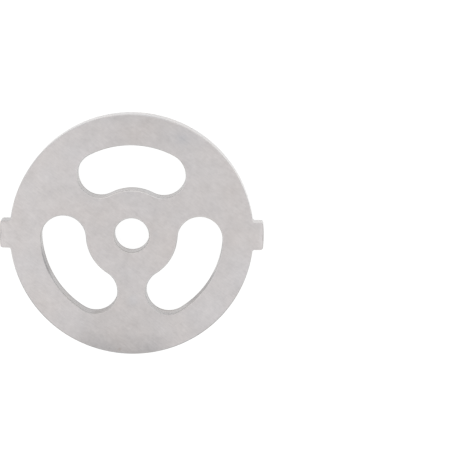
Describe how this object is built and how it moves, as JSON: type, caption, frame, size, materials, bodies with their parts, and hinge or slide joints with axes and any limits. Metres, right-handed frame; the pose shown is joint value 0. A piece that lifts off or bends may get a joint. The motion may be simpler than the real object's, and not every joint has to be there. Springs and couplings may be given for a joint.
{
  "type": "meat grinder plate",
  "caption": "Flat ground steel plate for a small meat grinder, with a centre bore, kidney-shaped openings that let coarse meat through, and ears on the rim that stop it turning.",
  "frame": {"origin": "on the bore's axis, at the back face, which the plate lies on", "axes": "+Z along the bore from the back face to the front face; +X out along one ear; +Y through the middle of one kidney opening"},
  "size_m": [0.0584, 0.054, 0.004],
  "materials": {
    "plate_steel": "ground flat faces with a soft satin sheen; rim, bore and opening walls rougher and darker"
  },
  "bodies": {
    "root": {"grinder_plate": "plate_steel"}
  },
  "joints": []
}
